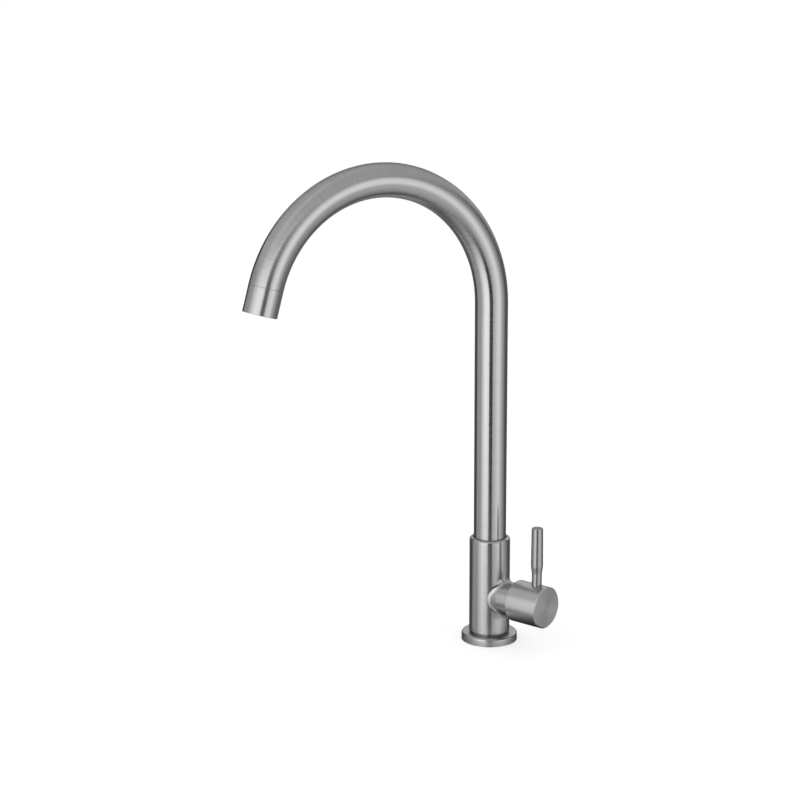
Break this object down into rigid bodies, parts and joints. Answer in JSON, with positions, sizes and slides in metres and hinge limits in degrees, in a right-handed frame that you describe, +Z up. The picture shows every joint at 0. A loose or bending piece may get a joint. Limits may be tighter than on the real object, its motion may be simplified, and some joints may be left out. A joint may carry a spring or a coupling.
{
  "type": "kitchen faucet",
  "caption": "Single-supply kitchen faucet in brushed steel: round column with flange, swivelling gooseneck spout, quarter-turn side handle with upright lever pin, threaded shank below.",
  "frame": {"origin": "centre of the flange's underside, on the deck surface", "axes": "+Z up along the column, +X along the handle's axis away from the column, -Y towards the user"},
  "size_m": [0.1289, 0.2224, 0.4281],
  "materials": {
    "brushed_steel": "fine circular brushed stainless steel",
    "threaded_steel": "plain turned stainless steel",
    "screw_steel": "bright stainless steel, small turned parts",
    "brass": "turned brass",
    "black_rubber": "matt black rubber",
    "white_acetal": "white acetal",
    "white_ceramic": "ground alumina ceramic"
  },
  "bodies": {
    "tap_body": {"base_flange": "brushed_steel", "deck_seal_ring": "black_rubber", "valve_body": "brushed_steel", "shank": "threaded_steel", "shank_seal": "black_rubber", "rubber_washer": "black_rubber", "steel_washer": "threaded_steel", "lock_nut": "brass", "cartridge_body": "brass", "cartridge_o_ring": "black_rubber", "seat_seal": "black_rubber", "fixed_disc": "white_ceramic", "spout_bearing_ring": "white_acetal", "spout_lock_screw": "screw_steel"},
    "handle": {"rotating_disc": "white_ceramic", "spindle": "brass", "spindle_o_rings": "black_rubber", "spindle_circlip": "screw_steel", "handle_body": "brushed_steel", "lever": "brushed_steel", "handle_set_screw": "screw_steel"},
    "spout": {"spout_tube": "brushed_steel", "swivel_stem": "brass", "stem_o_rings": "black_rubber", "tip_insert": "brass", "aerator_housing": "brushed_steel", "aerator_core": "white_acetal", "aerator_screen": "screw_steel", "aerator_washer": "black_rubber"}
  },
  "joints": [
    {"name": "spout_swivel", "type": "hinge", "parent": "tap_body", "child": "spout", "pos_m": [0, 0, 0.0842], "axis": [0, 0, 1], "continuous": true},
    {"name": "handle_turn", "type": "hinge", "parent": "tap_body", "child": "handle", "pos_m": [0.031, 0, 0.0373], "axis": [1, 0, 0], "range_deg": [0, 90]}
  ]
}
